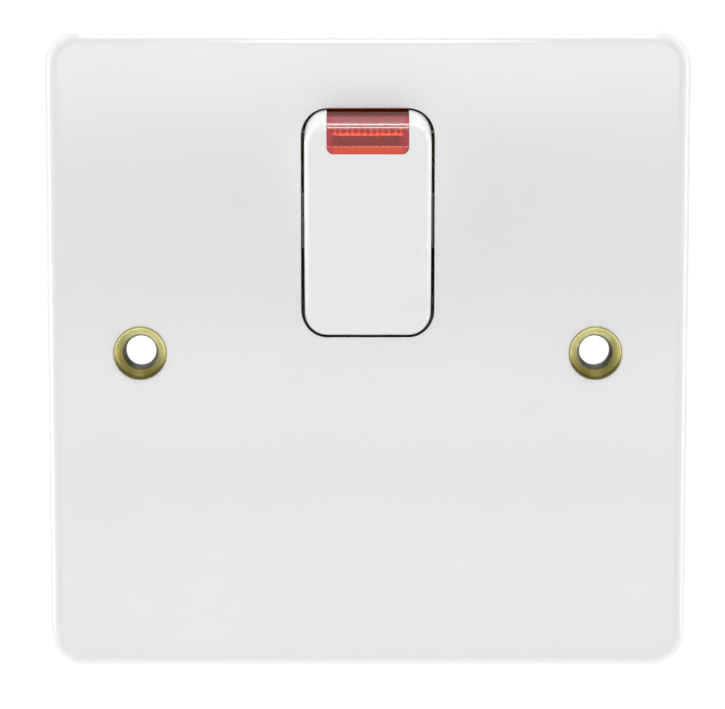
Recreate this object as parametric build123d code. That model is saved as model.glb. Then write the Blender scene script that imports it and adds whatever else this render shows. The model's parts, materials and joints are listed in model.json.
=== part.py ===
from build123d import *
import math
import os

os.makedirs("parts", exist_ok=True)

# Double pole wall switch with a signal lens in the top of its rocker, shown switched on.
# Millimetres. X runs to the right, Z up and Y from the room into the wall.
# The origin is the middle of the plate on the wall plane, where the rim rests.
# Depths below are measured into the wall from the plate's front face.

# Face plate
PLATE_SIDE = 85.0
PLATE_DEPTH = 8.5
PLATE_CORNER = 4.5
PLATE_EDGE = 1.7
FACE_WALL = 3.0
RIM_WALL = 2.2
FIXING_CENTRES = 60.3

# Rocker, drawn at half travel
ROCKER_W = 16.7
ROCKER_H = 29.5
ROCKER_Z = 17.3
ROCKER_PROUD = 1.9
ROCKER_CORNER = 3.0
ROCKER_EDGE = 1.0
ROCKER_WALL = 1.6
ROCKER_CAP = 2.2
ROCKER_SKIRT = 2.0
SKIRT_STEP = 0.15
PIVOT_DEPTH = 5.0
TILT = 6.5
TRUNNION_R = 1.5
TRUNNION_REACH = 1.75
CHEEK_W = 2.0
CHEEK_H = 7.2
SIDE_GAP = 0.45
END_GAP = 0.4

# Signal lens
LENS_W = 10.8
LENS_DROP = 3.9
LENS_CORNER = 0.95
LENS_LIP = 0.8
LENS_SILL = 1.1
RIB_COUNT = 12
RIB_DEPTH = 0.5
RIB_LIFT = 2.3

# Contact gear, one set for each pole
POLE_X = 4.4
PLUNGER_R = 1.75
NOSE_R = 0.45
PLUNGER_REACH = 8.4
BARREL_WALL = 0.7
SPRING_WIRE = 0.22
SPRING_TURNS = 3.5
CHORDS_PER_TURN = 12
BLADE_W = 4.0
BLADE_T = 1.0
BLADE_TAIL = 6.0
BLADE_TILT = 8.0
CONTACT_ARM = 9.0
TIP_SIDE = 3.0
TIP_H = 0.7
STRIP_T = 0.8
STRIP_W = 4.0
LUG_H = 2.7

# Terminals
TERMINAL_PITCH = 11.0
TERMINAL_W = 8.0
TERMINAL_L = 9.0
TERMINAL_D = 8.5
WIRE_R = 2.2
CLAMP_R = 2.0
CLAMP_SLOT = 0.8

# Rear housing
HOUSING_WALL = 1.5
HOUSING_CORNER = 2.0
FLOOR = 2.5
CORING = 2.5
EAR_T = 1.8
EAR_R = 2.85
PILLAR_R = 2.5
PILLAR_H = 1.9
SCREW_R = 1.5
SCREW_HEAD_R = 2.6
SCREW_HEAD_H = 1.6

# Signal lamp
LAMP_R = 2.0
LAMP_L = 9.2
LAMP_DROP = 3.4
LEAD_R = 0.3
RESISTOR_R = 1.1
RESISTOR_L = 5.0

# Fixing eyelets and earth strap
EYELET_BORE_R = 2.0
EYELET_THROAT_R = 2.3
EYELET_R = 3.5
EYELET_SINK = 1.5
EYELET_THROAT = 1.2
EYELET_PROUD = 0.25
EYELET_SWAGE = 0.5
EYELET_FLARE = 0.7
STRAP_T = 0.6
STRAP_LEG = 4.4
STRAP_PAD = 10.0
STRAP_DROP = 22.6
EARTH_X = -27.5

# Clearances
RUN = 0.05
SEAT = 0.02
FREE = 0.4


def plan(profile, d0, d1):
    """Solid between two depths from a profile drawn in X and Z."""
    plane = Plane(origin=(0, d1 - PLATE_DEPTH, 0), x_dir=(1, 0, 0), z_dir=(0, -1, 0))
    return extrude(plane * profile, d1 - d0)


def side(profile, x0, x1):
    """Solid between two X positions from a profile drawn in depth and Z."""
    plane = Plane(origin=(x0, -PLATE_DEPTH, 0), x_dir=(0, 1, 0), z_dir=(1, 0, 0))
    return extrude(plane * profile, x1 - x0)


def upright(profile, z0, z1):
    """Solid between two heights from a profile drawn in X and depth."""
    plane = Plane(origin=(0, -PLATE_DEPTH, z0), x_dir=(1, 0, 0), z_dir=(0, 0, 1))
    return extrude(plane * profile, z1 - z0)


def rect(a0, a1, b0, b1):
    return Pos((a0 + a1) / 2, (b0 + b1) / 2) * Rectangle(a1 - a0, b1 - b0)


def disc(a, b, radius):
    return Pos(a, b) * Circle(radius)


def flip(solid):
    """The same piece on the other side of the middle."""
    return mirror(solid, about=Plane.YZ)


def save(name, shape):
    export_step(shape, f"parts/{name}.step")


# Sizes that follow from the ones above
end_lean = PIVOT_DEPTH / (ROCKER_H / 2)
cap_half = ROCKER_H / 2 + ROCKER_CAP * end_lean
end_r = math.hypot(cap_half, PIVOT_DEPTH - ROCKER_CAP)
rocker_front = -ROCKER_PROUD
rocker_inside = rocker_front + ROCKER_WALL
rocker_back = PIVOT_DEPTH + ROCKER_SKIRT
aperture_half = ROCKER_W / 2 + SIDE_GAP
trunnion_x = ROCKER_W / 2 + TRUNNION_REACH
skirt_half = ROCKER_W / 2 - SKIRT_STEP
bearing_r = TRUNNION_R + RUN
cheek_back = PIVOT_DEPTH + bearing_r + 1.0
barrel_r = PLUNGER_R + RUN
barrel_floor = rocker_inside + 0.5
barrel_back = PIVOT_DEPTH + 3.0
shoulder = PIVOT_DEPTH
blade_front = PIVOT_DEPTH + PLUNGER_REACH + RUN
fulcrum = blade_front + BLADE_T
strip_front = fulcrum + LUG_H
deck = strip_front + STRIP_T
housing_back = deck + HOUSING_WALL + CORING
terminal_back = housing_back - FLOOR
terminal_front = terminal_back - TERMINAL_D
foot_front = terminal_front - STRIP_T
chamber_half = 1.5 * TERMINAL_PITCH + TERMINAL_W / 2
housing_half = chamber_half + HOUSING_WALL
chamber_top = ROCKER_Z + end_r + FREE
housing_top = chamber_top + HOUSING_WALL
chamber_bottom = ROCKER_Z - end_r - 4.0
terminal_top = chamber_bottom - 1.0
terminal_bottom = terminal_top - TERMINAL_L
housing_bottom = terminal_bottom - FLOOR
terminal_z = (terminal_top + terminal_bottom) / 2
wire_depth = terminal_front + WIRE_R + 1.4
inner_x = TERMINAL_PITCH / 2
outer_x = 1.5 * TERMINAL_PITCH
ear_x = housing_half + SCREW_HEAD_R + FREE
ear_front = FACE_WALL + PILLAR_H
ear_back = ear_front + EAR_T
ears = [(-ear_x, housing_top - 6.0), (ear_x, housing_bottom + 5.0)]
lamp_z = ROCKER_Z + ROCKER_H / 2 - LAMP_DROP
lamp_depth = PIVOT_DEPTH + 0.5
lead_x = LAMP_L / 2 + 1.3
jog_x = POLE_X + BLADE_W / 2 + RESISTOR_R + 1.5
jog_depth = rocker_back + (lamp_z - ROCKER_Z) * math.sin(math.radians(TILT)) + 1.2
fixing_x = FIXING_CENTRES / 2
strap_back = FACE_WALL + STRAP_T
eyelet_back = strap_back + EYELET_SWAGE

pivot_axis = Axis((0, PIVOT_DEPTH - PLATE_DEPTH, ROCKER_Z), (1, 0, 0))
fulcrum_axis = Axis((0, fulcrum - PLATE_DEPTH, ROCKER_Z), (1, 0, 0))


def end_half(depth):
    """Half the rocker's height at a depth: its ends lean square to the arc they swing on."""
    return ROCKER_H / 2 + depth * end_lean


def drafted(d0, d1, half_w, gap, corner):
    """Block with leaning ends whose four end edges are rounded as seen from the front."""
    h0 = end_half(d0) + gap
    h1 = end_half(d1) + gap
    outline = [(d0, ROCKER_Z - h0), (d0, ROCKER_Z + h0), (d1, ROCKER_Z + h1), (d1, ROCKER_Z - h1)]
    block = side(make_face(Polyline(*outline, close=True)), -half_w, half_w)
    leaning = [e for e in block.edges() if abs((e @ 0).Y - (e @ 1).Y) > 0.1]
    return fillet(leaning, corner)


# Face plate with its rim, rocker aperture, bearing cheeks and screw pillars
plate = plan(RectangleRounded(PLATE_SIDE, PLATE_SIDE, PLATE_CORNER), 0, PLATE_DEPTH)
plate = fillet(plate.faces().sort_by(Axis.Y)[0].edges(), PLATE_EDGE)
inner_side = PLATE_SIDE - 2 * RIM_WALL
inner_corner = max(PLATE_CORNER - RIM_WALL, 0.5)
plate -= plan(RectangleRounded(inner_side, inner_side, inner_corner), FACE_WALL, PLATE_DEPTH + 1)
plate -= drafted(-1.0, FACE_WALL + 0.5, aperture_half, END_GAP, ROCKER_CORNER + SIDE_GAP)
# Each cheek keeps the rocker's skirt central and shows through the gap beside the rocker
cheek_low = ROCKER_Z - CHEEK_H / 2
cheek_high = ROCKER_Z + CHEEK_H / 2
cheek_out = aperture_half + CHEEK_W
cheek = side(rect(FACE_WALL, cheek_back, cheek_low, cheek_high), skirt_half + RUN, cheek_out)
cheek += side(rect(FACE_WALL - 0.5, FACE_WALL, cheek_low, cheek_high), aperture_half, cheek_out)
bearing = disc(PIVOT_DEPTH, ROCKER_Z, bearing_r)
bearing += rect(PIVOT_DEPTH, cheek_back + 1, ROCKER_Z - bearing_r, ROCKER_Z + bearing_r)
cheek -= side(bearing, aperture_half - 1, cheek_out + 1)
plate += cheek
plate += flip(cheek)
for x, z in ears:
    plate += plan(disc(x, z, PILLAR_R), FACE_WALL - 0.5, ear_front)
    plate -= plan(disc(x, z, SCREW_R + SEAT), FACE_WALL - 1.6, ear_front + 1)
for sx in (-1, 1):
    plate -= plan(disc(sx * fixing_x, 0, EYELET_R + SEAT), -1, FACE_WALL + 1)
save("front_plate", plate)

# Rocker shell and the lens let into its upper end
cap = drafted(rocker_front, ROCKER_CAP, ROCKER_W / 2, 0, ROCKER_CORNER)
cap = fillet(cap.faces().sort_by(Axis.Y)[0].edges(), ROCKER_EDGE)
skirt = Pos(0, ROCKER_Z) * RectangleRounded(
    2 * skirt_half, 2 * (cap_half - SKIRT_STEP), ROCKER_CORNER
)
inner_front = end_half(rocker_inside) - ROCKER_WALL
inner_back = cap_half - ROCKER_WALL
inner_outline = [
    (rocker_inside, ROCKER_Z - inner_front),
    (rocker_inside, ROCKER_Z + inner_front),
    (ROCKER_CAP, ROCKER_Z + inner_back),
    (rocker_back + 1, ROCKER_Z + inner_back),
    (rocker_back + 1, ROCKER_Z - inner_back),
    (ROCKER_CAP, ROCKER_Z - inner_back),
]
inner_half = ROCKER_W / 2 - ROCKER_WALL
hollow = side(make_face(Polyline(*inner_outline, close=True)), -inner_half, inner_half)
lens_foot = ROCKER_Z + end_half(rocker_front) - LENS_DROP
lens_head = ROCKER_Z + end_r + 1


def lens_outline(gap):
    """Front outline of the lens with its lower corners rounded, drawn in by a gap."""
    half = LENS_W / 2 - gap
    low = lens_foot + gap
    r = LENS_CORNER
    shape = rect(-half, half, low + r, lens_head)
    shape += rect(-half + r, half - r, low, low + r)
    shape += disc(-half + r, low + r, r)
    shape += disc(half - r, low + r, r)
    return shape


rocker = cap - plan(lens_outline(0), rocker_front - 1, ROCKER_CAP)
rocker += plan(skirt, ROCKER_CAP, rocker_back)
rocker -= hollow
for sx in (-1, 1):
    x = sx * POLE_X
    barrel_side = 2 * (barrel_r + BARREL_WALL)
    barrel = plan(Pos(x, ROCKER_Z) * Rectangle(barrel_side, barrel_side), rocker_inside - 0.3, barrel_back)
    rocker += barrel - plan(disc(x, ROCKER_Z, barrel_r), barrel_floor, barrel_back + 1)
trunnion = side(disc(PIVOT_DEPTH, ROCKER_Z, TRUNNION_R), ROCKER_W / 2 - 0.8, trunnion_x)
rocker += trunnion
rocker += flip(trunnion)
save("rocker", rocker.rotate(pivot_axis, TILT))

lens = (cap & plan(lens_outline(RUN), rocker_front - 1, ROCKER_CAP - RUN)) - hollow
lip_back = rocker_inside + 0.6
lip_top = ROCKER_Z + inner_front - 0.2
lip_half = LENS_W / 2 + LENS_LIP
lip = rect(-lip_half, lip_half, lens_foot - LENS_LIP, lip_top)
lip -= rect(-LENS_W / 2 + 0.5, LENS_W / 2 - 0.5, lens_foot + LENS_SILL, lip_top + 1)
lens += plan(lip, rocker_inside + RUN, lip_back)
lens += plan(lens_outline(0.3), rocker_inside - 0.2, rocker_inside + RUN) & plan(lip, -20, 20)
rib_half = LENS_W / 2 - 0.7
rib_pitch = 2 * rib_half / RIB_COUNT
teeth = [(-rib_half, rocker_inside - 0.3)]
for i in range(RIB_COUNT):
    teeth.append((-rib_half + i * rib_pitch, rocker_inside))
    teeth.append((-rib_half + (i + 0.5) * rib_pitch, rocker_inside + RIB_DEPTH))
teeth.append((rib_half, rocker_inside))
teeth.append((rib_half, rocker_inside - 0.3))
# The ribs' lower ends are cut on a slope, so that they show from the front as a row of points
rib_low = lens_foot + RIB_LIFT
rib_high = lip_top + 0.3
rib_back = rocker_inside + RIB_DEPTH
sloped_end = [
    (rocker_inside - 0.5, rib_low),
    (rocker_inside, rib_low),
    (rib_back + 0.1, rib_low + RIB_DEPTH + 0.1),
    (rib_back + 0.1, rib_high),
    (rocker_inside - 0.5, rib_high),
]
ribs = upright(make_face(Polyline(*teeth, close=True)), rib_low, rib_high)
lens += ribs & side(make_face(Polyline(*sloped_end, close=True)), -rib_half, rib_half)
save("neon_lens", lens.rotate(pivot_axis, TILT))

# Plungers and their springs, carried in the rocker's barrels
tip_depth = PIVOT_DEPTH + PLUNGER_REACH
plunger_outline = [
    (0, shoulder),
    (PLUNGER_R, shoulder),
    (PLUNGER_R, tip_depth - (PLUNGER_R - NOSE_R)),
    (NOSE_R, tip_depth),
    (0, tip_depth),
]
points = [(r, d - PLATE_DEPTH) for r, d in plunger_outline]
plunger = revolve(make_face(Polyline(*points, close=True)), axis=Axis.Y)
plunger = Pos(POLE_X, 0, ROCKER_Z) * plunger
save("plunger_neutral", plunger.rotate(pivot_axis, TILT))
save("plunger_live", flip(plunger).rotate(pivot_axis, TILT))

spring_from = barrel_floor + SPRING_WIRE
spring_length = shoulder - barrel_floor - 2 * SPRING_WIRE
spring_r = PLUNGER_R - 1.7 * SPRING_WIRE
chords = int(SPRING_TURNS * CHORDS_PER_TURN)
coil = []
for i in range(chords + 1):
    turn = 2 * math.pi * i / CHORDS_PER_TURN
    depth = spring_from + spring_length * i / chords
    x = POLE_X + spring_r * math.cos(turn)
    coil.append((x, depth - PLATE_DEPTH, ROCKER_Z + spring_r * math.sin(turn)))
coil_path = Polyline(*coil)
wire = Plane(origin=coil_path @ 0, z_dir=coil_path % 0) * Rectangle(2 * SPRING_WIRE, 2 * SPRING_WIRE)
spring = sweep(wire, path=coil_path, transition=Transition.RIGHT)
save("spring_neutral", spring.rotate(pivot_axis, TILT))
save("spring_live", flip(spring).rotate(pivot_axis, TILT))

# See-saw contact blades, each rocking on the lug of its line strip
notch = 0.65
prong = 0.5
blade = plan(
    rect(
        POLE_X - BLADE_W / 2,
        POLE_X + BLADE_W / 2,
        ROCKER_Z - BLADE_TAIL,
        ROCKER_Z + CONTACT_ARM + TIP_SIDE / 2 + 0.4,
    ),
    blade_front,
    fulcrum,
)
for sx in (-1, 1):
    edge = POLE_X + sx * BLADE_W / 2
    blade -= plan(rect(edge - notch, edge + notch, ROCKER_Z - 0.9, ROCKER_Z + 0.9), 0, deck)
save("moving_contact_neutral", blade.rotate(fulcrum_axis, -BLADE_TILT))
save("moving_contact_live", flip(blade).rotate(fulcrum_axis, -BLADE_TILT))

tip_z = ROCKER_Z + CONTACT_ARM
tip = plan(Pos(POLE_X, tip_z) * Rectangle(TIP_SIDE, TIP_SIDE), fulcrum, fulcrum + TIP_H)
save("moving_tip_neutral", tip.rotate(fulcrum_axis, -BLADE_TILT))
save("moving_tip_live", flip(tip).rotate(fulcrum_axis, -BLADE_TILT))

# The fixed tips' faces lean with the closed blades, so that the tips meet flat
closed_z = ROCKER_Z + CONTACT_ARM * math.cos(math.radians(BLADE_TILT))
swept = plan(rect(0, 3 * POLE_X, ROCKER_Z, ROCKER_Z + 3 * CONTACT_ARM), 0, fulcrum + TIP_H + SEAT)
fixed_tip = plan(Pos(POLE_X, closed_z) * Rectangle(TIP_SIDE, TIP_SIDE), blade_front, strip_front)
fixed_tip -= swept.rotate(fulcrum_axis, -BLADE_TILT)
save("fixed_tip_neutral", fixed_tip)
save("fixed_tip_live", flip(fixed_tip))


def strip_leg(x):
    """Bent-up end of a strip that lies on top of a terminal block."""
    x0 = x - STRIP_W / 2
    x1 = x + STRIP_W / 2
    leg = plan(rect(x0, x1, chamber_bottom, chamber_bottom + STRIP_T), foot_front, deck)
    return leg + plan(rect(x0, x1, terminal_z - 2, chamber_bottom), foot_front, terminal_front)


lug_half = BLADE_W / 2 - notch - 0.1
line_x0 = POLE_X - STRIP_W / 2
line_x1 = POLE_X + STRIP_W / 2
line_strip = plan(rect(line_x0, line_x1, chamber_bottom, ROCKER_Z + STRIP_T / 2), strip_front, deck)
line_strip += strip_leg(POLE_X)
lug_z0 = ROCKER_Z - STRIP_T / 2
lug_z1 = ROCKER_Z + STRIP_T / 2
line_strip += plan(rect(line_x0, line_x1, lug_z0, lug_z1), fulcrum + 0.8, deck)
knife = disc(fulcrum + 0.03 + STRIP_T / 2, ROCKER_Z, STRIP_T / 2)
knife += rect(fulcrum + 0.03 + STRIP_T / 2, fulcrum + 1.0, lug_z0, lug_z1)
line_strip += side(knife, POLE_X - lug_half, POLE_X + lug_half)
for sx in (-1, 1):
    edge = POLE_X + sx * (BLADE_W / 2 - prong / 2)
    tine = rect(edge - prong / 2, edge + prong / 2, lug_z0, lug_z1)
    line_strip += plan(tine, blade_front - 0.6, fulcrum + 1.0)
save("line_strip_neutral", line_strip)
save("line_strip_live", flip(line_strip))

arm_z0 = ROCKER_Z + CONTACT_ARM - TIP_SIDE / 2 - 0.7
arm_z1 = lamp_z + 1.2
load_x1 = outer_x + STRIP_W / 2
load_strip = plan(rect(line_x0, load_x1, arm_z0, arm_z1), strip_front, deck)
load_strip += plan(rect(load_x1 - STRIP_W, load_x1, chamber_bottom, arm_z1), strip_front, deck)
load_strip += strip_leg(outer_x)
save("load_strip_neutral", load_strip)
save("load_strip_live", flip(load_strip))


def terminal_block(x, z0, z1, d0, d1, bore_depth):
    """Brass block with a wire bore up its middle and a tapped hole in its back."""
    block = plan(rect(x - TERMINAL_W / 2, x + TERMINAL_W / 2, z0, z1), d0, d1)
    block -= upright(disc(x, bore_depth, WIRE_R), z0 - 1, z1 + 1)
    return block - plan(disc(x, (z0 + z1) / 2, CLAMP_R + SEAT), bore_depth, d1 + 1)


def clamp_screw(x, z, tip_depth, block_back):
    """Headless slotted screw, backed off so that its tip stands clear of the wire bore."""
    end = block_back + 1.2
    screw = plan(disc(x, z, CLAMP_R), tip_depth, end)
    slot = rect(x - CLAMP_R - 1, x + CLAMP_R + 1, z - CLAMP_SLOT / 2, z + CLAMP_SLOT / 2)
    return screw - plan(slot, end - 1.0, end + 1)


def power_terminal(x):
    return terminal_block(
        x, terminal_bottom, terminal_top, terminal_front, terminal_back, wire_depth
    )


save("terminal_neutral_in", power_terminal(inner_x))
save("terminal_neutral_out", power_terminal(outer_x))
save("terminal_live_in", power_terminal(-inner_x))
save("terminal_live_out", power_terminal(-outer_x))
clamp_tip = wire_depth + WIRE_R + 0.15
clamps = [
    clamp_screw(x, terminal_z, clamp_tip, terminal_back)
    for x in (-outer_x, -inner_x, inner_x, outer_x)
]
save("terminal_screws", Compound(children=clamps))

# Rear housing: one moulding that closes the back of the switch and carries the live parts
housing_z = (housing_top + housing_bottom) / 2
housing = plan(
    Pos(0, housing_z)
    * RectangleRounded(2 * housing_half, housing_top - housing_bottom, HOUSING_CORNER),
    FACE_WALL,
    housing_back,
)
housing -= plan(rect(-chamber_half, chamber_half, chamber_bottom, chamber_top), 0, deck)
housing -= plan(
    rect(-chamber_half, chamber_half, housing_bottom + HOUSING_WALL, chamber_top),
    0,
    terminal_front,
)
for x in (-outer_x, -inner_x, inner_x, outer_x):
    pocket_half = TERMINAL_W / 2 + RUN
    pocket = rect(x - pocket_half, x + pocket_half, terminal_bottom - RUN, terminal_top + RUN)
    if abs(x) > inner_x:
        reach = math.copysign(chamber_half, x)
        pocket &= rect(min(x - pocket_half, reach), max(x + pocket_half, reach), -500, 500)
    housing -= plan(pocket, terminal_front - 1, terminal_back)
    entry = Pos(x, wire_depth) * Rectangle(2 * WIRE_R + 2, 2 * WIRE_R + 2)
    housing -= upright(entry, housing_bottom - 1, terminal_bottom)
    housing -= plan(disc(x, terminal_z, CLAMP_R + 0.6), terminal_back - 1, housing_back + 1)
core_z = [chamber_bottom + 1.5, ROCKER_Z - 0.75, ROCKER_Z + 0.75, chamber_top]
core_x = [0.75, TERMINAL_PITCH - 0.75, TERMINAL_PITCH + 0.75, chamber_half]
for sx in (-1, 1):
    for i in (0, 2):
        for j in (0, 2):
            xs = sorted((sx * core_x[i], sx * core_x[i + 1]))
            core = rect(xs[0], xs[1], core_z[j], core_z[j + 1])
            housing -= plan(core, housing_back - CORING, housing_back + 1)
barrier_front = rocker_back + end_r * math.sin(math.radians(TILT)) + 0.7
housing += plan(rect(-0.7, 0.7, chamber_bottom - 0.5, chamber_top + 0.5), barrier_front, deck + 0.5)
cradle = rect(-0.7, 0.7, lamp_z - 2.6, lamp_z + 1.6)
housing += plan(cradle, lamp_depth, barrier_front + 0.5)
housing -= side(disc(lamp_depth, lamp_z, LAMP_R + RUN), -1, 1)
post_x0 = aperture_half + 0.1
post_x1 = cheek_out - 0.1
post_half = bearing_r - RUN
post = rect(PIVOT_DEPTH, cheek_back + 1.0, ROCKER_Z - post_half, ROCKER_Z + post_half)
post += rect(cheek_back + 0.5, deck + 0.5, ROCKER_Z - 4, ROCKER_Z + 4)
post -= disc(PIVOT_DEPTH, ROCKER_Z, bearing_r)
saddle = side(post, post_x0, post_x1)
housing += saddle
housing += flip(saddle)
for x, z in ears:
    root = math.copysign(housing_half - 0.5, x)
    ear_end = x + math.copysign(EAR_R, x)
    ear = rect(min(ear_end, root), max(ear_end, root), z - EAR_R, z + EAR_R)
    housing += plan(ear, ear_front, ear_back)
for x, z in ears:
    housing -= plan(disc(x, z, SCREW_R + 0.1), ear_front - 0.5, ear_back + 0.5)
save("rear_housing", housing)


def housing_screw(x, z):
    """Pan-head screw with a cross recess."""
    screw = plan(disc(x, z, SCREW_R), FACE_WALL - 1.2, ear_back + 0.2)
    head = plan(disc(x, z, SCREW_HEAD_R), ear_back, ear_back + SCREW_HEAD_H)
    cross = rect(x - 1.4, x + 1.4, z - 0.35, z + 0.35) + rect(x - 0.35, x + 0.35, z - 1.4, z + 1.4)
    return screw + head - plan(cross, ear_back + 0.6, ear_back + SCREW_HEAD_H + 1)


save("housing_screws", Compound(children=[housing_screw(x, z) for x, z in ears]))

# Signal lamp, its dropper resistor and its two leads across the load strips
lamp = side(disc(lamp_depth, lamp_z, LAMP_R), -LAMP_L / 2, LAMP_L / 2)
save("neon_lamp", lamp)
lead_points = [
    (LAMP_L / 2, lamp_depth),
    (lead_x, lamp_depth),
    (lead_x, jog_depth),
    (jog_x, jog_depth),
    (jog_x, strip_front),
]
lead_path = Polyline(*[(x, d - PLATE_DEPTH, lamp_z) for x, d in lead_points])
lead_end = Plane(origin=lead_path @ 0, z_dir=(1, 0, 0)) * RegularPolygon(LEAD_R, 6)
lead = sweep(lead_end, path=lead_path, transition=Transition.RIGHT)
resistor_back = strip_front - 0.8
resistor = plan(disc(jog_x, lamp_z, RESISTOR_R), resistor_back - RESISTOR_L, resistor_back)
save("neon_resistor", resistor)
save("neon_lead_neutral", lead - resistor)
save("neon_lead_live", flip(lead))

# Fixing eyelets, swaged over the ends of the earth strap behind the plate
section = [
    (EYELET_R - 0.25, -EYELET_PROUD),
    (EYELET_R, -EYELET_PROUD),
    (EYELET_R, strap_back),
    (EYELET_R + EYELET_FLARE, strap_back),
    (EYELET_R + EYELET_FLARE, eyelet_back),
    (EYELET_BORE_R, eyelet_back),
    (EYELET_BORE_R, EYELET_SINK + EYELET_THROAT),
    (EYELET_THROAT_R, EYELET_SINK),
]
points = [(r, d - PLATE_DEPTH) for r, d in section]
eyelet = revolve(make_face(Polyline(*points, close=True)), axis=Axis.Y)
save("eyelet_left", Pos(-fixing_x, 0, 0) * eyelet)
save("eyelet_right", Pos(fixing_x, 0, 0) * eyelet)

strap = rect(-fixing_x - STRAP_LEG / 2, fixing_x + STRAP_LEG / 2, -STRAP_DROP, -STRAP_DROP + 5.0)
for sx in (-1, 1):
    x = sx * fixing_x
    strap += rect(x - STRAP_LEG / 2, x + STRAP_LEG / 2, -STRAP_DROP, 0)
    strap += rect(x - STRAP_PAD / 2, x + STRAP_PAD / 2, -STRAP_PAD / 2, STRAP_PAD / 2)
for sx in (-1, 1):
    strap -= disc(sx * fixing_x, 0, EYELET_R + SEAT)
save("earth_strap", plan(strap, FACE_WALL, strap_back))

earth_z1 = -STRAP_DROP + 2.5 + TERMINAL_L / 2
earth_z0 = earth_z1 - TERMINAL_L
earth_bore = strap_back + WIRE_R + 1.6
earth_back = strap_back + TERMINAL_D
save("earth_terminal", terminal_block(EARTH_X, earth_z0, earth_z1, strap_back, earth_back, earth_bore))
earth_tip = earth_bore + WIRE_R + 0.15
save("earth_screw", clamp_screw(EARTH_X, (earth_z0 + earth_z1) / 2, earth_tip, earth_back))
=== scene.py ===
import json
import math

import bmesh
import bpy
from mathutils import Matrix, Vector


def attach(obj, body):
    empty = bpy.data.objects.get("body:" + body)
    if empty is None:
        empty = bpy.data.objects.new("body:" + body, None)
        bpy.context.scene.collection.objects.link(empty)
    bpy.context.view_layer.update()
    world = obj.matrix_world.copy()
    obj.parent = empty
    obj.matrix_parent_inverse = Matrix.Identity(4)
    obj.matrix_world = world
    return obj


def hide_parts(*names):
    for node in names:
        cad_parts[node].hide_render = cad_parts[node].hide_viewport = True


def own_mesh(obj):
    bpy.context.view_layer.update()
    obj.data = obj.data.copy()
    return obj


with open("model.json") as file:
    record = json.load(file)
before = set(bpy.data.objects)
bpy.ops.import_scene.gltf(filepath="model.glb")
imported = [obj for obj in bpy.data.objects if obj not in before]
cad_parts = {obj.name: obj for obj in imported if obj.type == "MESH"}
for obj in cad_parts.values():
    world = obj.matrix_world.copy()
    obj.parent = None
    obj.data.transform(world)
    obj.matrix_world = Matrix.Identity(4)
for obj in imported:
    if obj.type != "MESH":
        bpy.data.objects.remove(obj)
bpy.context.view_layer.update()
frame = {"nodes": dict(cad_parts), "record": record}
scene = bpy.context.scene
nodes = frame["nodes"]

MM = 0.001

# The switch's own places, in millimetres, in the frame of the solids
FACE_Y = -8.5
PIVOT_Y, PIVOT_Z = -3.5, 17.3
TILT = math.radians(6.5)
FIXING_X = 30.15
POLE_X = 4.4
LAMP_Y, LAMP_Z, LAMP_R, LAMP_HALF = -3.0, 28.65, 2.0, 4.6

# The camera that took the photograph: its picture's width and focal length in pixels, its place and aim
FRAME_W = 725
FOCAL_PX = 3776.0
SENSOR_MM = 36.0
CAMERA = (-0.7, -503.6, 69.6)
AIM = (-0.7, -8.5, -0.16)


def linear(code):
    """sRGB hex to the linear colour that the shaders take."""
    values = [int(code[i : i + 2], 16) / 255 for i in (1, 3, 5)]
    low = [v / 12.92 for v in values]
    high = [((v + 0.055) / 1.055) ** 2.4 for v in values]
    return tuple(a if v <= 0.04045 else b for v, a, b in zip(values, low, high)) + (1.0,)


def add(tree, kind, inputs=None, **settings):
    """Adds one node. Inputs hold a value for a socket, or the socket that feeds it."""
    node = tree.nodes.new("ShaderNode" + kind)
    for name, value in settings.items():
        setattr(node, name, value)
    for name, value in (inputs or {}).items():
        if isinstance(value, bpy.types.NodeSocket):
            tree.links.new(value, node.inputs[name])
        else:
            node.inputs[name].default_value = value
    return node


def blank(name):
    """A material without nodes, its tree, and the place of each point in metres."""
    finish = bpy.data.materials.new(name)
    finish.use_nodes = True
    tree = finish.node_tree
    tree.nodes.clear()
    place = add(tree, "TexCoord").outputs["Object"]
    return finish, tree, place


def close(tree, surface):
    add(tree, "OutputMaterial", {"Surface": surface})


# Most of a noise lies between these levels, so roughness is spread over them
NOISE_LOW, NOISE_HIGH = 0.3, 0.7

# Narrow gaps are painted fully dark with shade where less of the open sky is seen than the first share, and
# left unshaded from the second up
SKY_FULL_SHADE, SKY_NO_SHADE = 0.18, 0.5
# The painted shade is paler in patches of this size, between these levels of the noise
PALE_PATCH_MM = 2.2
PALE_PATCH_FROM, PALE_PATCH_FULL = 0.42, 0.68
# Those paler patches lie only in the gaps beside the rocker, from this far out
SIDE_GAP_FROM_X, SIDE_GAP_FULL_X = 6.5, 8.0


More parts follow.
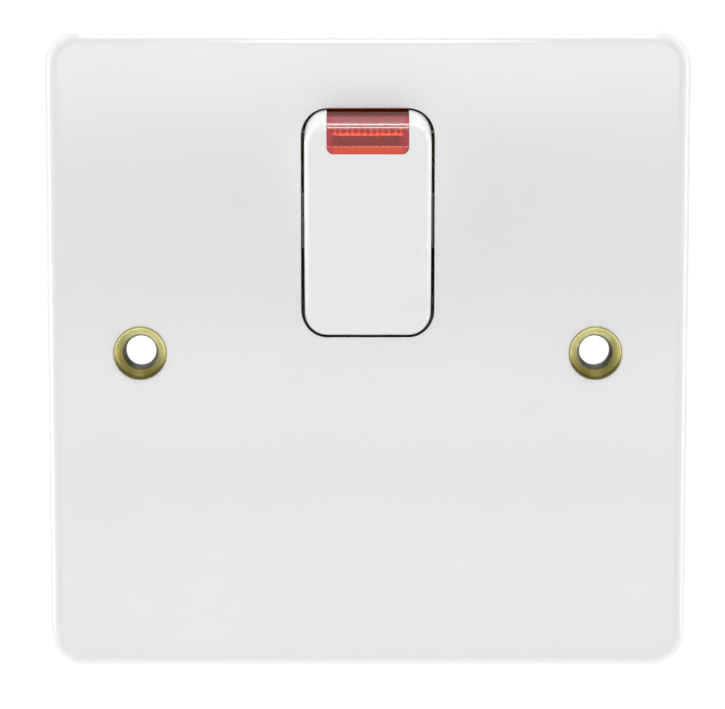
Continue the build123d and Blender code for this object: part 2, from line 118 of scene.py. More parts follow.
def moulded(name, colour, shade, rough, flow_mm, grain_mm, grain_height_mm, ior, edge_mm, gap_mm):
    """Moulded plastic: the melt's flow clouds the colour a little, and the tool's polish leaves fine grain.
    Its edges are as round as the tool leaves them, and narrow gaps are painted dark with shade, paler in
    patches beside the rocker.
    The grain is drawn coarser than real polish, which is finer than the picture can show."""
    finish, tree, place = blank(name)
    flow = add(tree, "TexNoise", {"Vector": place, "Scale": 1 / (flow_mm * MM), "Detail": 3.0})
    tint = add(
        tree,
        "MixRGB",
        {"Fac": flow.outputs["Fac"], "Color1": linear(colour), "Color2": linear(shade)},
    )
    # Painted shade: gaps go dark where they see little open sky
    open_sky = add(tree, "AmbientOcclusion", {"Distance": gap_mm * MM}, samples=6)
    unshaded = add(
        tree,
        "MapRange",
        {"Value": open_sky.outputs["AO"], "From Min": SKY_FULL_SHADE, "From Max": SKY_NO_SHADE},
    )
    pale_noise = add(tree, "TexNoise", {"Vector": place, "Scale": 1 / (PALE_PATCH_MM * MM), "Detail": 3.0})
    paleness = add(
        tree,
        "MapRange",
        {"Value": pale_noise.outputs["Fac"], "From Min": PALE_PATCH_FROM, "From Max": PALE_PATCH_FULL},
    )
    across = add(tree, "SeparateXYZ", {"Vector": place})
    out = add(tree, "Math", {0: across.outputs["X"]}, operation="ABSOLUTE")
    beside = add(
        tree,
        "MapRange",
        {"Value": out.outputs[0], "From Min": SIDE_GAP_FROM_X * MM, "From Max": SIDE_GAP_FULL_X * MM},
    )
    pale_patches = add(
        tree,
        "Math",
        {0: paleness.outputs["Result"], 1: beside.outputs["Result"]},
        operation="MULTIPLY",
    )
    # Painted shade colour for the gaps, paler in patches beside the rocker
    gap_shade = add(
        tree,
        "MixRGB",
        {"Fac": pale_patches.outputs[0], "Color1": linear("#151413"), "Color2": linear("#86847F")},
    )
    gap_shaded = add(
        tree,
        "MixRGB",
        {"Fac": unshaded.outputs["Result"], "Color1": gap_shade.outputs["Color"], "Color2": tint.outputs["Color"]},
    )
    grain = add(tree, "TexNoise", {"Vector": place, "Scale": 1 / (grain_mm * MM), "Detail": 4.0})
    polish = add(
        tree,
        "MapRange",
        {
            "Value": flow.outputs["Fac"],
            "From Min": NOISE_LOW,
            "From Max": NOISE_HIGH,
            "To Min": rough[0],
            "To Max": rough[1],
        },
    )
    edge = add(tree, "Bevel", {"Radius": edge_mm * MM}, samples=4)
    relief = add(
        tree,
        "Bump",
        {
            "Height": grain.outputs["Fac"],
            "Strength": 1.0,
            "Distance": grain_height_mm * MM,
            "Normal": edge.outputs["Normal"],
        },
    )
    body = add(
        tree,
        "BsdfPrincipled",
        {
            "Base Color": gap_shaded.outputs["Color"],
            "Roughness": polish.outputs["Result"],
            "Normal": relief.outputs["Normal"],
            "IOR": ior,
        },
    )
    close(tree, body.outputs["BSDF"])
    return finish


# Tarnish lies on the metals in patches of this size, between these levels of the noise
TARNISH_MM = 3.0
TARNISH_BARE, TARNISH_FULL = 0.35, 0.7


def worked(name, bright, dull, rough, line_mm, stretch, line_height_mm):
    """Rolled, drawn or turned metal: fine lines along the working direction and patches of tarnish.
    The lines are drawn coarser than real ones, which are finer than the picture can show."""
    finish, tree, place = blank(name)
    along = add(tree, "Mapping", {"Vector": place, "Scale": stretch})
    lines = add(
        tree,
        "TexNoise",
        {"Vector": along.outputs["Vector"], "Scale": 1 / (line_mm * MM), "Detail": 3.0},
    )
    tarnish = add(tree, "TexNoise", {"Vector": place, "Scale": 1 / (TARNISH_MM * MM), "Detail": 5.0})
    spread = add(
        tree,
        "MapRange",
        {"Value": tarnish.outputs["Fac"], "From Min": TARNISH_BARE, "From Max": TARNISH_FULL},
    )
    tint = add(
        tree,
        "MixRGB",
        {"Fac": spread.outputs["Result"], "Color1": linear(bright), "Color2": linear(dull)},
    )
    matt = add(
        tree,
        "MapRange",
        {
            "Value": tarnish.outputs["Fac"],
            "From Min": NOISE_LOW,
            "From Max": NOISE_HIGH,
            "To Min": rough[0],
            "To Max": rough[1],
        },
    )
    relief = add(
        tree,
        "Bump",
        {"Height": lines.outputs["Fac"], "Strength": 1.0, "Distance": line_height_mm * MM},
    )
    body = add(
        tree,
        "BsdfPrincipled",
        {
            "Base Color": tint.outputs["Color"],
            "Metallic": 1.0,
            "Roughness": matt.outputs["Result"],
            "Normal": relief.outputs["Normal"],
        },
    )
    close(tree, body.outputs["BSDF"])
    return finish


# Heights on the lens: its frosted foot ends at the first, and its top end, where it dips into the gap, is
# painted dark with shade from the third height to the fourth
LENS_FOOT_Z, LENS_FOOT_FADE = 27.72, 0.14
LENS_LIT_Z, LENS_SHADED_Z = 31.4, 31.65
# A painted highlight lies in a thin line this far below the foot's end, fades out over these distances and
# glints in dashes
EDGE_DROP, EDGE_CORE, EDGE_FADE = 0.06, 0.03, 0.08
# The lens's sides are painted with a crimson glow from here out
LENS_CLEAR_X, LENS_GLOW_X, SIDE_GLOW = 4.3, 5.2, 0.8
# A painted row of lit points, where the lower ends of its ribs catch the light, lies about this height, and
# the row ends this far out
RIB_ROW_Z, RIB_ROW_HALF, RIB_ROW_FADE = 30.05, 0.4, 0.05
RIB_END_X, RIB_END_FADE = 4.95, 0.1
RIB_PITCH = 9.4 / 12
# Chips of this size take from the ribs' wave or add to it.
# A painted dash or point of light stands where the wave stands high.
CHIP_MM, CHIP_LOSS = 0.6, 0.6
DASH_FROM, DASH_FULL, DASH_SHARE = 0.2, 0.4, 0.6
POINT_FROM, POINT_FULL, POINT_TAPER = 0.2, 0.6, -1.0
# A pale painted reflection is laid where the lens faces up, between these parts of the way, and covers this
# share of the red
SHEEN_FROM, SHEEN_FULL, SHEEN_SHARE = 0.35, 0.85, 0.35
# Share of the light that passes the clear front, the top under its painted reflection, the frosted foot, and
# the sides and points where glow and light are painted
PASS_FRONT, PASS_TOP, PASS_FOOT, PASS_PAINTED = 0.84, 0.55, 0.2, 0.3


def red_acrylic():
    """Clear red acrylic, injection moulded: deep red over the dark inside, orange where the foot is
    frosted, with a crimson glow painted at the sides and a pale reflection painted on top, where it faces
    up.
    Its top end is painted dark with shade where it dips into the gap, and the light that the ribs behind
    catch at their lower ends is painted, in a row of points and as dashes along the foot.
    Its polish grain is drawn coarser than it is."""
    finish, tree, place = blank("red_acrylic")
    flow = add(tree, "TexNoise", {"Vector": place, "Scale": 1 / (4.0 * MM), "Detail": 2.0})
    tint = add(
        tree,
        "MixRGB",
        {"Fac": flow.outputs["Fac"], "Color1": linear("#FA5432"), "Color2": linear("#F04A2C")},
    )
    # Painted reflection: a pale sheen where the lens faces up
    facing = add(tree, "SeparateXYZ", {"Vector": add(tree, "NewGeometry").outputs["Normal"]})
    film_and_sheen = add(
        tree,
        "MapRange",
        {"Value": facing.outputs["Z"], "From Min": SHEEN_FROM, "From Max": SHEEN_FULL},
    )
    pale = add(tree, "Math", {0: film_and_sheen.outputs["Result"], 1: SHEEN_SHARE}, operation="MULTIPLY")
    with_painted_sheen = add(
        tree,
        "MixRGB",
        {"Fac": pale.outputs[0], "Color1": tint.outputs["Color"], "Color2": linear("#A0ACC4")},
    )
    rise = add(tree, "SeparateXYZ", {"Vector": place})
    out = add(tree, "Math", {0: rise.outputs["X"]}, operation="ABSOLUTE").outputs[0]
    # Painted glow: crimson at the lens's sides
    side = add(
        tree,
        "MapRange",
        {
            "Value": out,
            "From Min": LENS_CLEAR_X * MM,
            "From Max": LENS_GLOW_X * MM,
            "To Max": SIDE_GLOW,
        },
    )
    glowing = add(
        tree,
        "MixRGB",
        {"Fac": side.outputs["Result"], "Color1": with_painted_sheen.outputs["Color"], "Color2": linear("#D8244C")},
    )
    # Painted shade: the top end goes dark red where it dips into the gap
    gap_shade = add(
        tree,
        "MapRange",
        {"Value": rise.outputs["Z"], "From Min": LENS_LIT_Z * MM, "From Max": LENS_SHADED_Z * MM},
    )
    gap_shaded = add(
        tree,
        "MixRGB",
        {"Fac": gap_shade.outputs["Result"], "Color1": glowing.outputs["Color"], "Color2": linear("#6E150F")},
    )

    # The ribs' wave runs from nought to one across each rib, and chips break it up
    wave = add(tree, "Math", {0: rise.outputs["X"], 1: RIB_PITCH / 2 * MM}, operation="PINGPONG")
    even = add(tree, "MapRange", {"Value": wave.outputs[0], "From Max": RIB_PITCH / 2 * MM})
    chips = add(tree, "TexNoise", {"Vector": place, "Scale": 1 / (CHIP_MM * MM), "Detail": 2.0})
    loss = add(
        tree,
        "MapRange",
        {"Value": chips.outputs["Fac"], "To Min": -CHIP_LOSS, "To Max": CHIP_LOSS},
    )
    rib = add(
        tree,
        "Math",
        {0: even.outputs["Result"], 1: loss.outputs["Result"]},
        operation="ADD",
    ).outputs[0]

    # Painted highlight: dashes along the end of the foot
    from_edge = add(
        tree,
        "Math",
        {0: rise.outputs["Z"], 1: (LENS_FOOT_Z - EDGE_DROP) * MM},
        operation="SUBTRACT",
    )
    near_edge = add(
        tree,
        "MapRange",
        {
            "Value": add(tree, "Math", {0: from_edge.outputs[0]}, operation="ABSOLUTE").outputs[0],
            "From Min": EDGE_CORE * MM,
            "From Max": EDGE_FADE * MM,
            "To Min": 1.0,
            "To Max": 0.0,
        },
    )
    dashes = add(
        tree,
        "MapRange",
        {"Value": rib, "From Min": DASH_FROM, "From Max": DASH_FULL, "To Max": DASH_SHARE},
    )
    glint = add(
        tree,
        "Math",
        {0: near_edge.outputs["Result"], 1: dashes.outputs["Result"]},
        operation="MULTIPLY",
    )
    # Painted highlight colour of the dashes
    edge_painted = add(
        tree,
        "MixRGB",
        {"Fac": glint.outputs[0], "Color1": gap_shaded.outputs["Color"], "Color2": linear("#FFBE9C")},
    )

    # Painted row of lit points, each narrower towards its top
    from_row = add(tree, "Math", {0: rise.outputs["Z"], 1: RIB_ROW_Z * MM}, operation="SUBTRACT")
    in_row = add(
        tree,
        "MapRange",
        {
            "Value": add(tree, "Math", {0: from_row.outputs[0]}, operation="ABSOLUTE").outputs[0],
            "From Min": (RIB_ROW_HALF - RIB_ROW_FADE) * MM,
            "From Max": (RIB_ROW_HALF + RIB_ROW_FADE) * MM,
            "To Min": 1.0,
            "To Max": 0.0,
        },
    )
    ends = add(
        tree,
        "MapRange",
        {
            "Value": out,
            "From Min": (RIB_END_X - RIB_END_FADE) * MM,
            "From Max": RIB_END_X * MM,
            "To Min": 1.0,
            "To Max": 0.0,
        },
    )
    row = add(
        tree,
        "Math",
        {0: in_row.outputs["Result"], 1: ends.outputs["Result"]},
        operation="MULTIPLY",
    ).outputs[0]
    up_row = add(
        tree,
        "MapRange",
        {"Value": from_row.outputs[0], "From Min": -RIB_ROW_HALF * MM, "From Max": RIB_ROW_HALF * MM},
    )
    taper = add(
        tree,
        "Math",
        {0: up_row.outputs["Result"], 1: POINT_TAPER, 2: rib},
        operation="MULTIPLY_ADD",
    )
    point = add(
        tree,
        "MapRange",
        {"Value": taper.outputs[0], "From Min": POINT_FROM, "From Max": POINT_FULL},
    )
    caught = add(
        tree,
        "MixRGB",
        {"Fac": point.outputs["Result"], "Color1": linear("#B01402"), "Color2": linear("#EC5030")},
    )
    with_painted_points = add(
        tree,
        "MixRGB",
        {"Fac": row, "Color1": edge_painted.outputs["Color"], "Color2": caught.outputs["Color"]},
    )

    # How much light passes
    thin = add(
        tree,
        "MapRange",
        {"Value": film_and_sheen.outputs["Result"], "To Min": PASS_FRONT, "To Max": PASS_TOP},
    )
    clear = add(
        tree,
        "MapRange",
        {
            "Value": rise.outputs["Z"],
            "From Min": LENS_FOOT_Z * MM,
            "From Max": (LENS_FOOT_Z + LENS_FOOT_FADE) * MM,
            "To Min": PASS_FOOT,
            "To Max": thin.outputs["Result"],
        },
    )
    # Sides and points with painted glow and light pass less light, so that the paint shows
    painted_glow_mask = add(tree, "Math", {0: row, 1: side.outputs["Result"]}, operation="MAXIMUM")
    passing = add(
        tree,
        "MapRange",
        {"Value": painted_glow_mask.outputs[0], "To Min": clear.outputs["Result"], "To Max": PASS_PAINTED},
    )
    grain = add(tree, "TexNoise", {"Vector": place, "Scale": 1 / (0.6 * MM), "Detail": 3.0})
    relief = add(tree, "Bump", {"Height": grain.outputs["Fac"], "Strength": 1.0, "Distance": 0.0005 * MM})
    body = add(
        tree,
        "BsdfPrincipled",
        {
            "Base Color": with_painted_points.outputs["Color"],
            "Roughness": 0.055,
            "IOR": 1.49,
            "Transmission Weight": passing.outputs["Result"],
            "Normal": relief.outputs["Normal"],
        },
    )
    close(tree, body.outputs["BSDF"])
    return finish


def lamp_glass():
    """Soda glass drawn into a small tube: clear, with the slight ripple of drawn glass."""
    finish, tree, place = blank("soda_glass")
    ripple = add(tree, "TexNoise", {"Vector": place, "Scale": 1 / (1.5 * MM), "Detail": 2.0})
    relief = add(tree, "Bump", {"Height": ripple.outputs["Fac"], "Strength": 1.0, "Distance": 0.01 * MM})
    smoke = add(
        tree,
        "MixRGB",
        {"Fac": ripple.outputs["Fac"], "Color1": linear("#FFFFFF"), "Color2": linear("#F1EDE8")},
    )
    body = add(
        tree,
        "BsdfPrincipled",
        {
            "Base Color": smoke.outputs["Color"],
            "Roughness": 0.02,
            "IOR": 1.52,
            "Transmission Weight": 1.0,
            "Normal": relief.outputs["Normal"],
        },
    )
    close(tree, body.outputs["BSDF"])
    return finish


# The eyelet's zones, by radius: the bore, painted dark with shade, ends where the countersink starts, and
# painted shade lies round the rim
BORE_EDGE_R, SINK_FOOT_R = 2.31, 2.41
LIP_R, RIM_R, RIM_SHARE = 3.16, 3.4, 0.9
# Painted shade darkens it from the first height down, fully at the second, and pulls the rim's painted shade
# this much further in there
SHADE_FROM_Z, SHADE_FULL_Z, SHADE_SHARE = 0.2, -2.6, 0.85
RIM_SAG = 0.24
# Round the upper half the rim keeps this share of its painted shade, and all of it where the lower painted
# shade has reached this much
RIM_UPPER_SHADE, RIM_LOWER_REACH = 0.72, 0.6
# Sizes of the film's patches, the pink shimmer, the turning rings and the pits
FILM_MM, SHIMMER_MM, RING_MM, PIT_MM = 1.2, 2.4, 1.0, 0.35
PATCH_BARE, PATCH_FULL = 0.35, 0.68
SHIMMER_FROM, SHIMMER_FULL, SHIMMER_SHARE = 0.5, 0.62, 0.45
SKIN_HEIGHT_MM = 0.02


def eyelet_brass():
    """Yellow passivated brass, spun over in the press: a pale olive film with a pink shimmer in places and
    turning rings, painted darker with shade towards the lower half, in the bore and round the rim.
    The rings and pits are drawn coarser than real ones, which are finer than the picture can show."""
    finish, tree, place = blank("passivated_brass")
    film_and_sheen = add(
        tree,
        "TexNoise",
        {"Vector": place, "Scale": 1 / (FILM_MM * MM), "Detail": 5.0, "Roughness": 0.65},
    )
    patch = add(
        tree,
        "MapRange",
        {"Value": film_and_sheen.outputs["Fac"], "From Min": PATCH_BARE, "From Max": PATCH_FULL},
    )
    tint = add(
        tree,
        "MixRGB",
        {"Fac": patch.outputs["Result"], "Color1": linear("#F3F3AC"), "Color2": linear("#D7D488")},
    )
    shimmer = add(tree, "TexNoise", {"Vector": place, "Scale": 1 / (SHIMMER_MM * MM), "Detail": 2.0})
    blush = add(
        tree,
        "MapRange",
        {
            "Value": shimmer.outputs["Fac"],
            "From Min": SHIMMER_FROM,
            "From Max": SHIMMER_FULL,
            "To Max": SHIMMER_SHARE,
        },
    )
    hued = add(
        tree,
        "MixRGB",
        {"Fac": blush.outputs["Result"], "Color1": tint.outputs["Color"], "Color2": linear("#F2CFA2")},
    )
    rise = add(tree, "SeparateXYZ", {"Vector": place})
    # Painted shade: darker towards the lower half
    shade_low = add(
        tree,
        "MapRange",
        {
            "Value": rise.outputs["Z"],
            "From Min": SHADE_FROM_Z * MM,
            "From Max": SHADE_FULL_Z * MM,
            "To Max": SHADE_SHARE,
        },
    )
    shaded_low = add(
        tree,
        "MixRGB",
        {"Fac": shade_low.outputs["Result"], "Color1": hued.outputs["Color"], "Color2": linear("#7C7430")},
    )
    across = add(tree, "VectorMath", {0: place, 1: (1.0, 0.0, 1.0)}, operation="MULTIPLY")
    radius = add(tree, "VectorMath", {0: across.outputs["Vector"]}, operation="LENGTH").outputs["Value"]
    sagging = add(
        tree,
        "Math",
        {0: shade_low.outputs["Result"], 1: RIM_SAG * MM, 2: radius},
        operation="MULTIPLY_ADD",
    )
    # Painted shade round the rim, reaching further in and full strength towards the bottom
    rim = add(
        tree,
        "MapRange",
        {
            "Value": sagging.outputs[0],
            "From Min": LIP_R * MM,
            "From Max": RIM_R * MM,
            "To Max": RIM_SHARE,
        },
    )
    rim_shade_share = add(
        tree,
        "MapRange",
        {"Value": shade_low.outputs["Result"], "From Max": RIM_LOWER_REACH, "To Min": RIM_UPPER_SHADE},
    )
    rim_shade = add(
        tree,
        "Math",
        {0: rim.outputs["Result"], 1: rim_shade_share.outputs["Result"]},
        operation="MULTIPLY",
    )
    edge_painted = add(
        tree,
        "MixRGB",
        {"Fac": rim_shade.outputs[0], "Color1": shaded_low.outputs["Color"], "Color2": linear("#453E1E")},
    )
    # Painted shade in the bore, darker in patches
    bore_shade = add(
        tree,
        "MixRGB",
        {"Fac": patch.outputs["Result"], "Color1": linear("#4A463A"), "Color2": linear("#1C1A16")},
    )
    bore = add(
        tree,
        "MapRange",
        {"Value": radius, "From Min": SINK_FOOT_R * MM, "From Max": BORE_EDGE_R * MM},
    )
    bored = add(
        tree,
        "MixRGB",
        {"Fac": bore.outputs["Result"], "Color1": edge_painted.outputs["Color"], "Color2": bore_shade.outputs["Color"]},
    )
    rings = add(
        tree,
        "TexWave",
        {"Vector": place, "Scale": 1 / (RING_MM * MM), "Distortion": 1.2, "Detail": 2.0},
        wave_type="RINGS",
        rings_direction="Y",
    )
    pits = add(tree, "TexNoise", {"Vector": place, "Scale": 1 / (PIT_MM * MM), "Detail": 3.0})
    relief = add(
        tree,
        "Bump",
        {"Height": rings.outputs["Fac"], "Strength": 1.0, "Distance": SKIN_HEIGHT_MM * MM},
    )
    rough_skin = add(
        tree,
        "Bump",
        {
            "Height": pits.outputs["Fac"],
            "Strength": 1.0,
            "Distance": SKIN_HEIGHT_MM * MM,
            "Normal": relief.outputs["Normal"],
        },
    )
    matt = add(
        tree,
        "MapRange",
        {
            "Value": film_and_sheen.outputs["Fac"],
            "From Min": NOISE_LOW,
            "From Max": NOISE_HIGH,
            "To Min": 0.38,
            "To Max": 0.55,
        },
    )
    body = add(
        tree,
        "BsdfPrincipled",
        {
            "Base Color": bored.outputs["Color"],
            "Metallic": 1.0,
            "Roughness": matt.outputs["Result"],
            "Normal": rough_skin.outputs["Normal"],
        },
    )
    close(tree, body.outputs["BSDF"])
    return finish


FINISHES = {
    # Urea of the plate: an even cool white with a wet gloss
    "white_plate": moulded(
        "urea_plate", "#EFEFEF", "#ECECEC", rough=(0.1, 0.13), flow_mm=18.0,
        grain_mm=0.9, grain_height_mm=0.0004, ior=1.56, edge_mm=0.25, gap_mm=2.5,
    ),
    # Urea of the rocker: a touch whiter, its gloss softened by use
    "white_rocker": moulded(
        "urea_rocker", "#F4F4F4", "#F1F1F1", rough=(0.14, 0.18), flow_mm=12.0,
        grain_mm=0.8, grain_height_mm=0.0006, ior=1.56, edge_mm=0.12, gap_mm=2.5,
    ),
    # Phenolic of the housing: dull warm white with a fine tooth
    "housing_moulding": moulded(
        "phenolic_housing", "#E2DFD8", "#D7D3CB", rough=(0.42, 0.55), flow_mm=9.0,
        grain_mm=0.35, grain_height_mm=0.012, ior=1.55, edge_mm=0.25, gap_mm=1.0,
    ),
    # Nylon of the plungers: creamy and waxy
    "plunger_nylon": moulded(
        "natural_nylon", "#E6E2D2", "#DCD6C2", rough=(0.35, 0.45), flow_mm=2.0,
        grain_mm=0.2, grain_height_mm=0.006, ior=1.53, edge_mm=0.1, gap_mm=0.3,
    ),
    # Lacquer of the resistor: tan with a soft sheen
    "resistor_lacquer": moulded(
        "lacquered_resistor", "#C8A878", "#B79664", rough=(0.3, 0.4), flow_mm=1.0,
        grain_mm=0.2, grain_height_mm=0.01, ior=1.5, edge_mm=0.2, gap_mm=0.3,
    ),
    # Rolled brass of the strips: painted shade makes it a dark olive, so that it stays quiet in the gap
    "strip_brass": worked(
        "rolled_brass_strip_painted_shade", "#7A725A", "#5E5845", rough=(0.24, 0.4),
        line_mm=0.15, stretch=(1.0, 1.0, 0.05), line_height_mm=0.006,
    ),
    # Rolled brass of the strap: pale yellow, lined along its length
    "strap_brass": worked(
        "rolled_brass_strap", "#D8C38A", "#BCA566", rough=(0.24, 0.4),
        line_mm=0.15, stretch=(0.05, 1.0, 1.0), line_height_mm=0.006,
    ),
    # Drawn brass of the terminals: bright yellow with draw lines up and down
    "terminal_brass": worked(
        "drawn_brass", "#D9C084", "#B79C60", rough=(0.22, 0.36),
        line_mm=0.2, stretch=(1.0, 1.0, 0.04), line_height_mm=0.008,
    ),
    # Turned brass of the clamp screws: yellow, a little duller
    "screw_brass": worked(
        "turned_brass", "#D6BC80", "#B0965C", rough=(0.25, 0.38),
        line_mm=0.12, stretch=(1.0, 0.1, 1.0), line_height_mm=0.008,
    ),
    # Zinc plate of the housing screws: cool light grey
    "screw_steel": worked(
        "zinc_plated_steel", "#C9CBCD", "#A6A9AB", rough=(0.28, 0.45),
        line_mm=0.15, stretch=(1.0, 1.0, 1.0), line_height_mm=0.006,
    ),
    # Music wire of the springs: bright steel with darker patches
    "spring_steel": worked(
        "music_wire", "#C4C6C8", "#8F9396", rough=(0.2, 0.32),
        line_mm=0.1, stretch=(1.0, 1.0, 1.0), line_height_mm=0.004,
    ),
    # Rolled copper of the blades: pink, browned in patches
    "contact_copper": worked(
        "rolled_copper", "#D79A72", "#A8683F", rough=(0.25, 0.42),
        line_mm=0.15, stretch=(1.0, 1.0, 0.05), line_height_mm=0.006,
    ),
    # Silver of the contact tips: white, tarnished to a warm grey
    "contact_silver": worked(
        "contact_silver", "#E4E3DD", "#B9B5A8", rough=(0.2, 0.38),
        line_mm=0.2, stretch=(1.0, 1.0, 1.0), line_height_mm=0.006,
    ),
    # Tinned copper of the leads and electrodes: soft grey shine
    "lead_wire": worked(
        "tinned_copper_wire", "#D5D6D4", "#A9ABA8", rough=(0.25, 0.4),
        line_mm=0.1, stretch=(1.0, 0.1, 1.0), line_height_mm=0.004,
    ),
    "red_lens": red_acrylic(),
    "lamp_glass": lamp_glass(),
    "eyelet_brass": eyelet_brass(),
}

for entry in frame["record"]["subparts"]:
    node = nodes[entry["node"]]
    node.data.materials.clear()
    node.data.materials.append(FINISHES[entry["material_slot"]])


def softened(profile, steps=5):
    """Closed profile of (radius, along, corner) points with its corners rounded."""
    out = []
    count = len(profile)
    for i, (r, d, corner) in enumerate(profile):
        here = Vector((r, d))
        before = Vector(profile[i - 1][:2]) - here
        after = Vector(profile[(i + 1) % count][:2]) - here
        if corner <= 0:
            out.append((r, d))
            continue
        half = before.angle(after) / 2
        reach = min(corner / math.tan(half), before.length / 2.01, after.length / 2.01)
        a = here + before.normalized() * reach
        b = here + after.normalized() * reach
        for k in range(steps + 1):
            t = k / steps
            p = a * (1 - t) ** 2 + here * (2 * t * (1 - t)) + b * t**2
            out.append((p.x, p.y))
    return out


def turned(name, loops, segments, axis):
    """Solid of revolution about Y or X, in millimetres.
    Its loops of (radius, along) points are closed, or run from pole to pole."""
    bm = bmesh.new()
    for loop, closed in loops:
        rings = []
        for r, d in loop:
            around = 1 if r < 1e-6 else segments
            ring = []
            for i in range(around):
                turn = 2 * math.pi * i / segments
                a, b = r * math.cos(turn) * MM, r * math.sin(turn) * MM
                ring.append(bm.verts.new((a, d * MM, b) if axis == "Y" else (d * MM, a, b)))
            rings.append(ring)
        following = rings[1:] + ([rings[0]] if closed else [])
        for one, two in zip(rings, following):
            for i in range(segments):
                j = (i + 1) % segments
                corners = [one[i % len(one)], one[j % len(one)], two[j % len(two)], two[i % len(two)]]
                corners = list(dict.fromkeys(corners))
                if len(corners) > 2:
                    bm.faces.new(corners)
    bmesh.ops.recalc_face_normals(bm, faces=bm.faces)
    mesh = bpy.data.meshes.new(name)
    bm.to_mesh(mesh)
    bm.free()
    mesh.shade_smooth()
    piece = bpy.data.objects.new(name, mesh)
    scene.collection.objects.link(piece)
    return piece


def dress(piece, slot, body, *stands_for):
    """Gives a piece its finish and the body it rides, and hides the nodes that it stands for."""
    piece.data.materials.append(FINISHES[slot])
    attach(piece, body)
    if stands_for:
        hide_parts(*stands_for)
    return piece


# Fixing eyelets: rolled lip, countersink, narrowing throat, plain bore and a tail flared over the strap.
# Each point has its radius, its depth behind the plate's face and the radius of its corner.
EYELET_PROFILE = [
    (3.24, -0.25, 0.12),
    (3.5, -0.25, 0.16),
    (3.5, 3.6, 0.02),
    (4.2, 3.62, 0.12),
    (4.2, 4.1, 0.18),
    (2.0, 4.1, 0.25),
    (2.0, 2.7, 0.2),
    (2.3, 1.5, 0.1),
]
for side, x in (("left", -FIXING_X), ("right", FIXING_X)):
    eyelet = turned(f"eyelet_{side}_spun", [(softened(EYELET_PROFILE), True)], 96, "Y")
    eyelet.location = (x * MM, FACE_Y * MM, 0)
    dress(eyelet, "eyelet_brass", "switch_body", f"eyelet_{side}")


def in_rocker(x, depth, rise):
    """A place in the rocker when switched on. It is given as it is at half travel, by its depth behind
    the plate's face and its rise above the pivot."""
    y, z = FACE_Y + depth - PIVOT_Y, rise
    c, s = math.cos(TILT), math.sin(TILT)
    return Vector((x, PIVOT_Y + y * c - z * s, PIVOT_Z + y * s + z * c)) * MM


# Plunger springs: round wire, with the end coils closed by easing the pitch
SPRING = {"from": 0.42, "to": 4.78, "r": 1.376, "wire": 0.2, "turns": 6.0}
POINTS_PER_TURN = 16
EASE_QUARTERS, EASE_ENDS = 0.09, 0.06
for pole, x in (("live", -POLE_X), ("neutral", POLE_X)):
    path = bpy.data.curves.new(f"spring_{pole}_path", "CURVE")
    path.dimensions = "3D"
    line = path.splines.new("NURBS")
    steps = int(SPRING["turns"] * POINTS_PER_TURN)
    line.points.add(steps)
    for i in range(steps + 1):
        t = i / steps
        quarters = EASE_QUARTERS * math.sin(4 * math.pi * t) / (2 * math.pi)
        ease = t + quarters - EASE_ENDS * math.sin(2 * math.pi * t) / math.pi
        turn = 2 * math.pi * SPRING["turns"] * t
        depth = SPRING["from"] + (SPRING["to"] - SPRING["from"]) * ease
        place = in_rocker(x + SPRING["r"] * math.cos(turn), depth, SPRING["r"] * math.sin(turn))
        line.points[i].co = (*place, 1)
    line.order_u = 4
    line.use_endpoint_u = True
    path.bevel_depth = SPRING["wire"] * MM
    path.bevel_resolution = 3
    path.resolution_u = 2
    path.use_fill_caps = True
    wire = bpy.data.objects.new(f"spring_{pole}_path", path)
    scene.collection.objects.link(wire)
    coil = bpy.data.meshes.new_from_object(wire.evaluated_get(bpy.context.evaluated_depsgraph_get()))
    bpy.data.objects.remove(wire)
    coil.shade_smooth()
    spring = bpy.data.objects.new(f"spring_{pole}_coil", coil)
    scene.collection.objects.link(spring)
    dress(spring, "spring_steel", "rocker", f"spring_{pole}")
    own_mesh(spring)

# Signal lamp: a thin glass tube with drawn-down ends, and two electrodes side by side in it
GLASS_WALL = 0.25
ROD_R, ROD_ROOT, ROD_TIP, ROD_TIP_ROUND, ROD_RISE = 0.3, 3.9, -2.3, 0.2, 0.55
envelope = [(0, -LAMP_HALF), (0.55, -4.55), (1.2, -4.2), (1.75, -3.5), (LAMP_R, -2.6)]
envelope += [(r, -d) for r, d in reversed(envelope)]
inside = [(max(r - GLASS_WALL, 0), d * (1 - GLASS_WALL / LAMP_HALF)) for r, d in reversed(envelope)]
tube = turned("lamp_envelope", [(envelope, False), (inside, False)], 48, "X")
tube.location = (0, LAMP_Y * MM, LAMP_Z * MM)
dress(tube, "lamp_glass", "switch_body", "neon_lamp")
ROD = [(0, ROD_ROOT, 0), (ROD_R, ROD_ROOT, 0), (ROD_R, ROD_TIP, ROD_TIP_ROUND), (0, ROD_TIP, 0)]
for side, hand in (("left", -1), ("right", 1)):
    rod = [(r, hand * d) for r, d in softened(ROD)]
    electrode = turned(f"lamp_electrode_{side}", [(rod, False)], 20, "X")
    electrode.location = (0, LAMP_Y * MM, (LAMP_Z - hand * ROD_RISE) * MM)
    dress(electrode, "lead_wire", "switch_body")


def looked_at(tree):
    """One where a ray sees a thing straight, in a reflection or through glass, and nought elsewhere."""
    path = add(tree, "LightPath").outputs
    either = add(tree, "Math", {0: path["Is Camera Ray"], 1: path["Is Glossy Ray"]}, operation="MAXIMUM")
    seen = add(tree, "Math", {0: either.outputs[0], 1: path["Is Transmission Ray"]}, operation="MAXIMUM")
    return seen.outputs[0]


# Floor and studio, in metres
REACH = 12.0
FLOOR_Z = -0.34
PAPER_GLOW = 0.74


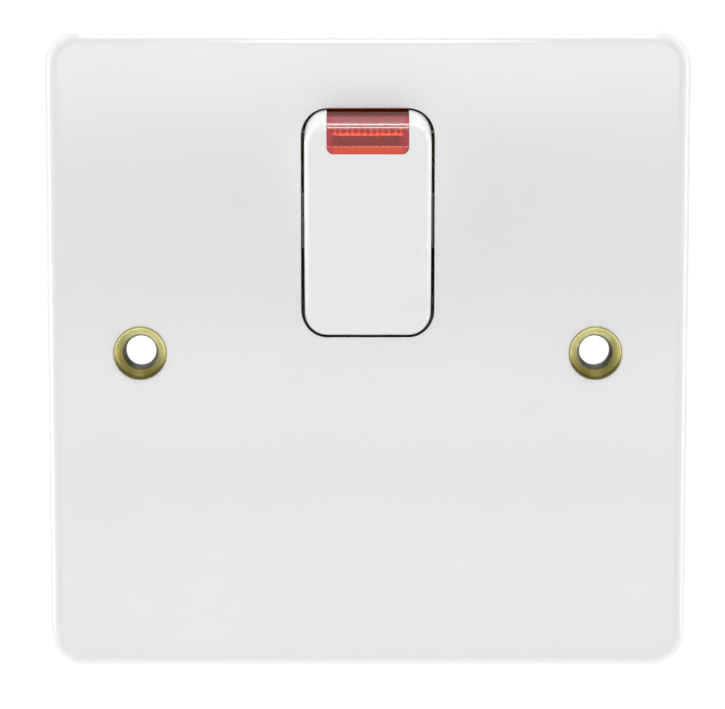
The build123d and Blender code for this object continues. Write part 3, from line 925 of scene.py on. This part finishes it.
def paper_floor():
    """White seamless paper: it shows as white, and keeps the shadow that falls on it."""
    finish, tree, place = blank("seamless_paper")
    fibre = add(tree, "TexNoise", {"Vector": place, "Scale": 1 / (2.0 * MM), "Detail": 3.0})
    tint = add(
        tree,
        "MixRGB",
        {"Fac": fibre.outputs["Fac"], "Color1": linear("#F4F4F4"), "Color2": linear("#F1F1F1")},
    )
    paper = add(tree, "BsdfDiffuse", {"Color": tint.outputs["Color"]})
    share = add(tree, "Math", {0: looked_at(tree), 1: PAPER_GLOW}, operation="MULTIPLY")
    glow = add(tree, "Emission", {"Color": (1, 1, 1, 1), "Strength": share.outputs[0]})
    both = add(tree, "AddShader", {0: paper.outputs["BSDF"], 1: glow.outputs["Emission"]})
    close(tree, both.outputs["Shader"])
    return finish


floor_mesh = bpy.data.meshes.new("floor")
corners = [
    (-REACH, -REACH, FLOOR_Z),
    (REACH, -REACH, FLOOR_Z),
    (REACH, REACH, FLOOR_Z),
    (-REACH, REACH, FLOOR_Z),
]
floor_mesh.from_pydata(corners, [], [(0, 1, 2, 3)])
floor = bpy.data.objects.new("floor", floor_mesh)
scene.collection.objects.link(floor)
floor_mesh.materials.append(paper_floor())

# The tent's light is even all round and a little lower on the camera's side
TENT_LEVEL = 0.382
TENT_LEAN = 0.36
world = bpy.data.worlds.new("light_tent")
scene.world = world
world.use_nodes = True
sky = world.node_tree
sky.nodes.clear()
direction = add(sky, "TexCoord").outputs["Generated"]
split = add(sky, "SeparateXYZ", {"Vector": direction})
level = add(
    sky,
    "Math",
    {0: split.outputs["Y"], 1: TENT_LEAN, 2: TENT_LEVEL},
    operation="MULTIPLY_ADD",
    use_clamp=True,
)
strength = add(sky, "MapRange", {"Value": looked_at(sky), "To Min": level.outputs[0]})
tent = add(sky, "Background", {"Color": (1, 1, 1, 1), "Strength": strength.outputs["Result"]})
add(sky, "OutputWorld", {"Surface": tent.outputs["Background"]})

# Softboxes stand square above and beside the switch, so that its rounded edges shine more than its face.
# The two upper ones lie in the plane of the plate, so that they light its rim and hardly its face.
SOFTBOXES = {
    "overhead": {"place": (0, -0.3, 1.2), "size": (0.28, 0.9), "level": 4.8},
    "overhead_strip": {"place": (0, -0.3, 1.19), "size": (0.07, 0.5), "level": 14.0},
    "left_side": {"place": (-1.2, -0.07, 0.05), "size": (0.4, 0.7), "level": 4.6},
    "right_side": {"place": (1.2, -0.07, 0.05), "size": (0.4, 0.7), "level": 3.9},
    "upper_left": {"place": (-0.85, 0.0, 0.9), "size": (0.12, 0.9), "level": 7.0},
    "upper_right": {"place": (0.85, 0.0, 0.9), "size": (0.12, 0.9), "level": 7.0},
    "under_card": {"place": (0, -0.08, -0.3), "size": (0.7, 0.34), "level": 0.24},
    "front_high": {"place": (0, -0.9, 0.27), "size": (0.5, 0.24), "level": 1.2},
    "front_panel": {"place": (0, -0.9, 0.045), "size": (0.4, 0.16), "level": 2.75},
    "front_strip": {"place": (0, -0.9, -0.139), "size": (0.5, 0.042), "level": 1.8},
    "front_low": {"place": (0, -0.9, -0.212), "size": (0.5, 0.064), "level": 1.5},
    "front_top": {"place": (0, -1.05, 0.58), "size": (0.08, 0.46), "level": 16.0},
    "back_top": {"place": (0, 0.74, 0.95), "size": (0.5, 0.5), "level": 2.2},
}
for name, box in SOFTBOXES.items():
    light = bpy.data.lights.new(name, "AREA")
    light.shape = "RECTANGLE"
    light.size, light.size_y = box["size"]
    light.energy = box["level"] * math.pi * light.size * light.size_y
    lamp = bpy.data.objects.new(name, light)
    scene.collection.objects.link(lamp)
    lamp.location = box["place"]
    lamp.rotation_euler = (-Vector(box["place"])).to_track_quat("-Z", "Y").to_euler()
    lamp.visible_camera = False

camera_data = bpy.data.cameras.new("camera")
camera = bpy.data.objects.new("camera", camera_data)
scene.collection.objects.link(camera)
camera_data.sensor_width = SENSOR_MM
camera_data.lens = FOCAL_PX * camera_data.sensor_width / FRAME_W
camera.location = Vector(CAMERA) * MM
camera.rotation_euler = ((Vector(AIM) - Vector(CAMERA)) * MM).to_track_quat("-Z", "Y").to_euler()
camera_data.clip_start = 0.01
camera_data.clip_end = 20.0
scene.camera = camera
scene.view_settings.view_transform = "Standard"
